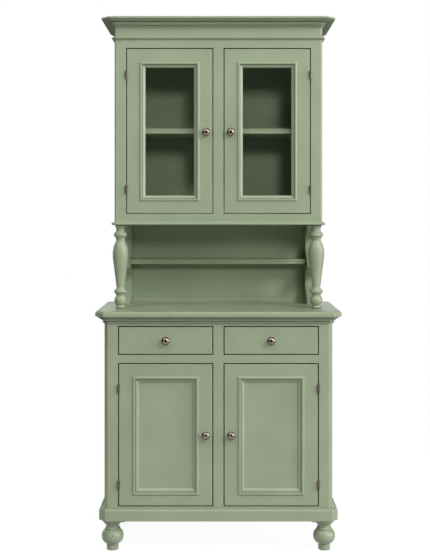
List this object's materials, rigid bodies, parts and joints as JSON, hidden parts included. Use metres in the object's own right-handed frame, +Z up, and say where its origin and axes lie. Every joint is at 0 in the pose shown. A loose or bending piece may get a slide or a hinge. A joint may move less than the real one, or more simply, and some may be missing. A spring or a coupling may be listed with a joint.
{
  "type": "dresser with hutch",
  "caption": "Painted kitchen dresser: panelled cupboard with drawers on bun feet, open niche with turned columns, and a glazed hutch under a crown moulding.",
  "frame": {"origin": "on the floor, under the middle of the dresser's width and depth", "axes": "+X to the right seen from the front, -Y towards the front, +Z up"},
  "size_m": [0.916, 0.45, 2],
  "materials": {
    "sage_paint": "satin painted",
    "bare_wood": "unpainted, waxed",
    "aged_nickel": "polished",
    "clear_glass": "clear"
  },
  "bodies": {
    "carcass": {"astragal_moulding": "sage_paint", "base_back": "sage_paint", "base_bottom": "sage_paint", "base_rails": "sage_paint", "base_shelf": "sage_paint", "base_side_left": "sage_paint", "base_side_right": "sage_paint", "base_stiles": "sage_paint", "bed_moulding": "sage_paint", "bun_feet": "sage_paint", "column_left": "sage_paint", "column_right": "sage_paint", "countertop": "sage_paint", "crown_moulding": "sage_paint", "drawer_divider": "bare_wood", "drawer_runners": "bare_wood", "hinge_frame_leaves": "aged_nickel", "hinge_pins": "aged_nickel", "hutch_back": "sage_paint", "hutch_bottom": "sage_paint", "hutch_rails": "sage_paint", "hutch_shelf": "sage_paint", "hutch_side_left": "sage_paint", "hutch_side_right": "sage_paint", "hutch_stiles": "sage_paint", "hutch_top": "sage_paint", "niche_back_strip": "sage_paint", "niche_bracket_left": "sage_paint", "niche_bracket_right": "sage_paint", "niche_shelf": "sage_paint", "plinth_moulding": "sage_paint", "shelf_pins": "aged_nickel", "waist_moulding": "sage_paint"},
    "drawer_left": {"drawer_left_box": "bare_wood", "drawer_left_front": "sage_paint", "drawer_left_knob": "aged_nickel"},
    "drawer_right": {"drawer_right_box": "bare_wood", "drawer_right_front": "sage_paint", "drawer_right_knob": "aged_nickel"},
    "base_door_left": {"base_door_left_frame": "sage_paint", "base_door_left_hinge_leaves": "aged_nickel", "base_door_left_knob": "aged_nickel", "base_door_left_moulding": "sage_paint", "base_door_left_panel": "sage_paint"},
    "base_door_right": {"base_door_right_frame": "sage_paint", "base_door_right_hinge_leaves": "aged_nickel", "base_door_right_knob": "aged_nickel", "base_door_right_moulding": "sage_paint", "base_door_right_panel": "sage_paint"},
    "hutch_door_left": {"hutch_door_left_frame": "sage_paint", "hutch_door_left_glass": "clear_glass", "hutch_door_left_hinge_leaves": "aged_nickel", "hutch_door_left_knob": "aged_nickel", "hutch_door_left_moulding": "sage_paint"},
    "hutch_door_right": {"hutch_door_right_frame": "sage_paint", "hutch_door_right_glass": "clear_glass", "hutch_door_right_hinge_leaves": "aged_nickel", "hutch_door_right_knob": "aged_nickel", "hutch_door_right_moulding": "sage_paint"}
  },
  "joints": [
    {"name": "drawer_left_slide", "type": "slide", "parent": "carcass", "child": "drawer_left", "axis": [0, -1, 0], "range_m": [0, 0.28]},
    {"name": "drawer_right_slide", "type": "slide", "parent": "carcass", "child": "drawer_right", "axis": [0, -1, 0], "range_m": [0, 0.28]},
    {"name": "base_door_left_hinge", "type": "hinge", "parent": "carcass", "child": "base_door_left", "pos_m": [-0.3716, -0.19705, 0.4327], "axis": [0, 0, -1], "range_deg": [0, 170]},
    {"name": "base_door_right_hinge", "type": "hinge", "parent": "carcass", "child": "base_door_right", "pos_m": [0.3716, -0.19705, 0.4327], "axis": [0, 0, 1], "range_deg": [0, 170]},
    {"name": "hutch_door_left_hinge", "type": "hinge", "parent": "carcass", "child": "hutch_door_left", "pos_m": [-0.3499, -0.10605, 1.56975], "axis": [0, 0, -1], "range_deg": [0, 170]},
    {"name": "hutch_door_right_hinge", "type": "hinge", "parent": "carcass", "child": "hutch_door_right", "pos_m": [0.3499, -0.10605, 1.56975], "axis": [0, 0, 1], "range_deg": [0, 170]}
  ]
}
